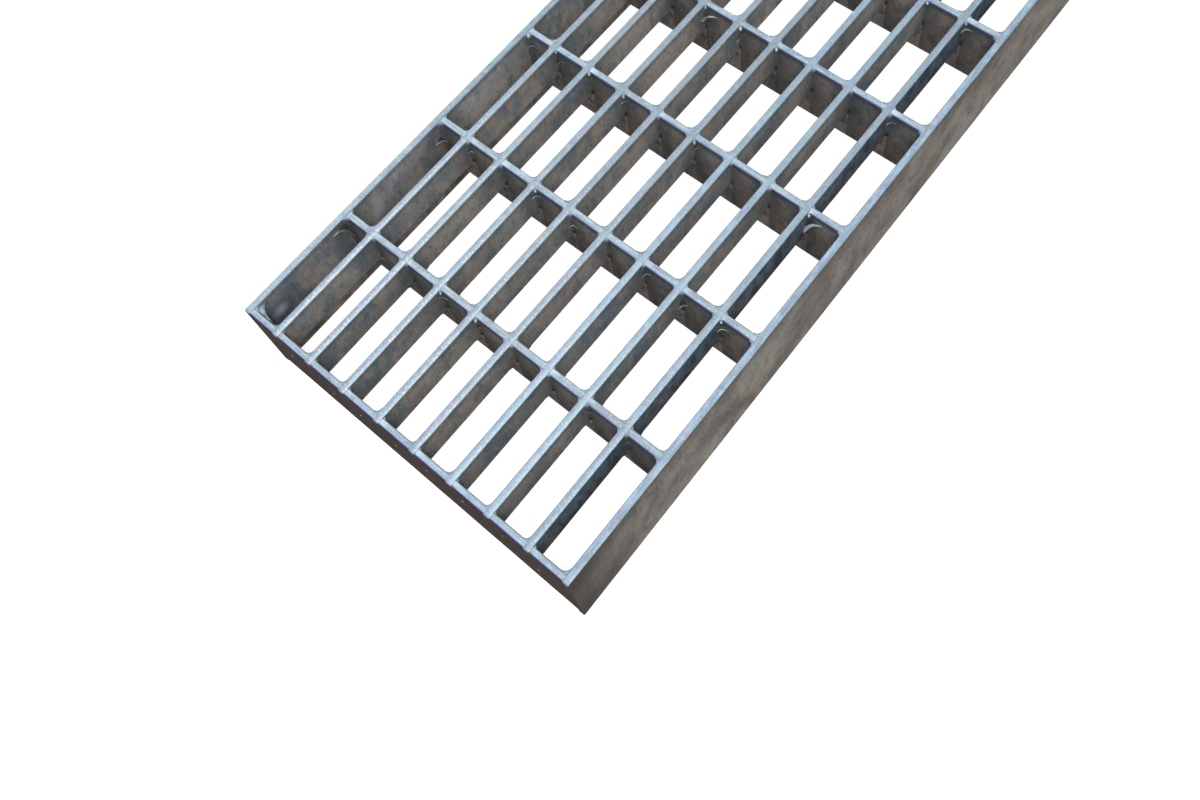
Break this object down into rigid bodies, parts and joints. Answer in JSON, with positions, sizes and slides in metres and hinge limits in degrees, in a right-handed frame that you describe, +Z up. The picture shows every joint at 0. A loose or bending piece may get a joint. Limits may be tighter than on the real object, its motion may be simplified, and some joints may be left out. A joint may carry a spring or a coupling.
{
  "type": "channel drain grate",
  "caption": "Long narrow galvanised steel mesh grate: deep flat frame bars round slotted cross bars and shallow lengthwise fill bars, flush on top, with open rectangular cells.",
  "frame": {"origin": "centre of the underside, on the plane the frame's bottom edges stand on", "axes": "+X across the channel to the right-hand side bar, +Y along the channel to the far end, +Z up to the walking surface"},
  "size_m": [0.1, 0.5, 0.03],
  "materials": {
    "frame_zinc": "hot-dip galvanised, pale and bright on the top edges, dull and mottled on the faces",
    "bearing_zinc": "hot-dip galvanised, darker down in the mesh",
    "fill_zinc": "hot-dip galvanised, pale blue-grey and speckled on top",
    "weld_zinc": "smooth bright zinc over small fillet welds"
  },
  "bodies": {
    "root": {"side_bar_left": "frame_zinc", "side_bar_right": "frame_zinc", "end_bar_near": "frame_zinc", "end_bar_far": "frame_zinc", "bearing_bar_1": "bearing_zinc", "bearing_bar_2": "bearing_zinc", "bearing_bar_3": "bearing_zinc", "bearing_bar_4": "bearing_zinc", "bearing_bar_5": "bearing_zinc", "bearing_bar_6": "bearing_zinc", "bearing_bar_7": "bearing_zinc", "bearing_bar_8": "bearing_zinc", "bearing_bar_9": "bearing_zinc", "bearing_bar_10": "bearing_zinc", "bearing_bar_11": "bearing_zinc", "bearing_bar_12": "bearing_zinc", "bearing_bar_13": "bearing_zinc", "bearing_bar_14": "bearing_zinc", "fill_bar_1": "fill_zinc", "fill_bar_2": "fill_zinc", "fill_bar_3": "fill_zinc", "fill_bar_4": "fill_zinc", "fill_bar_5": "fill_zinc", "fill_bar_6": "fill_zinc", "fill_bar_7": "fill_zinc", "fill_bar_8": "fill_zinc", "bearing_welds_left": "weld_zinc", "bearing_welds_right": "weld_zinc", "corner_welds": "weld_zinc"}
  },
  "joints": []
}
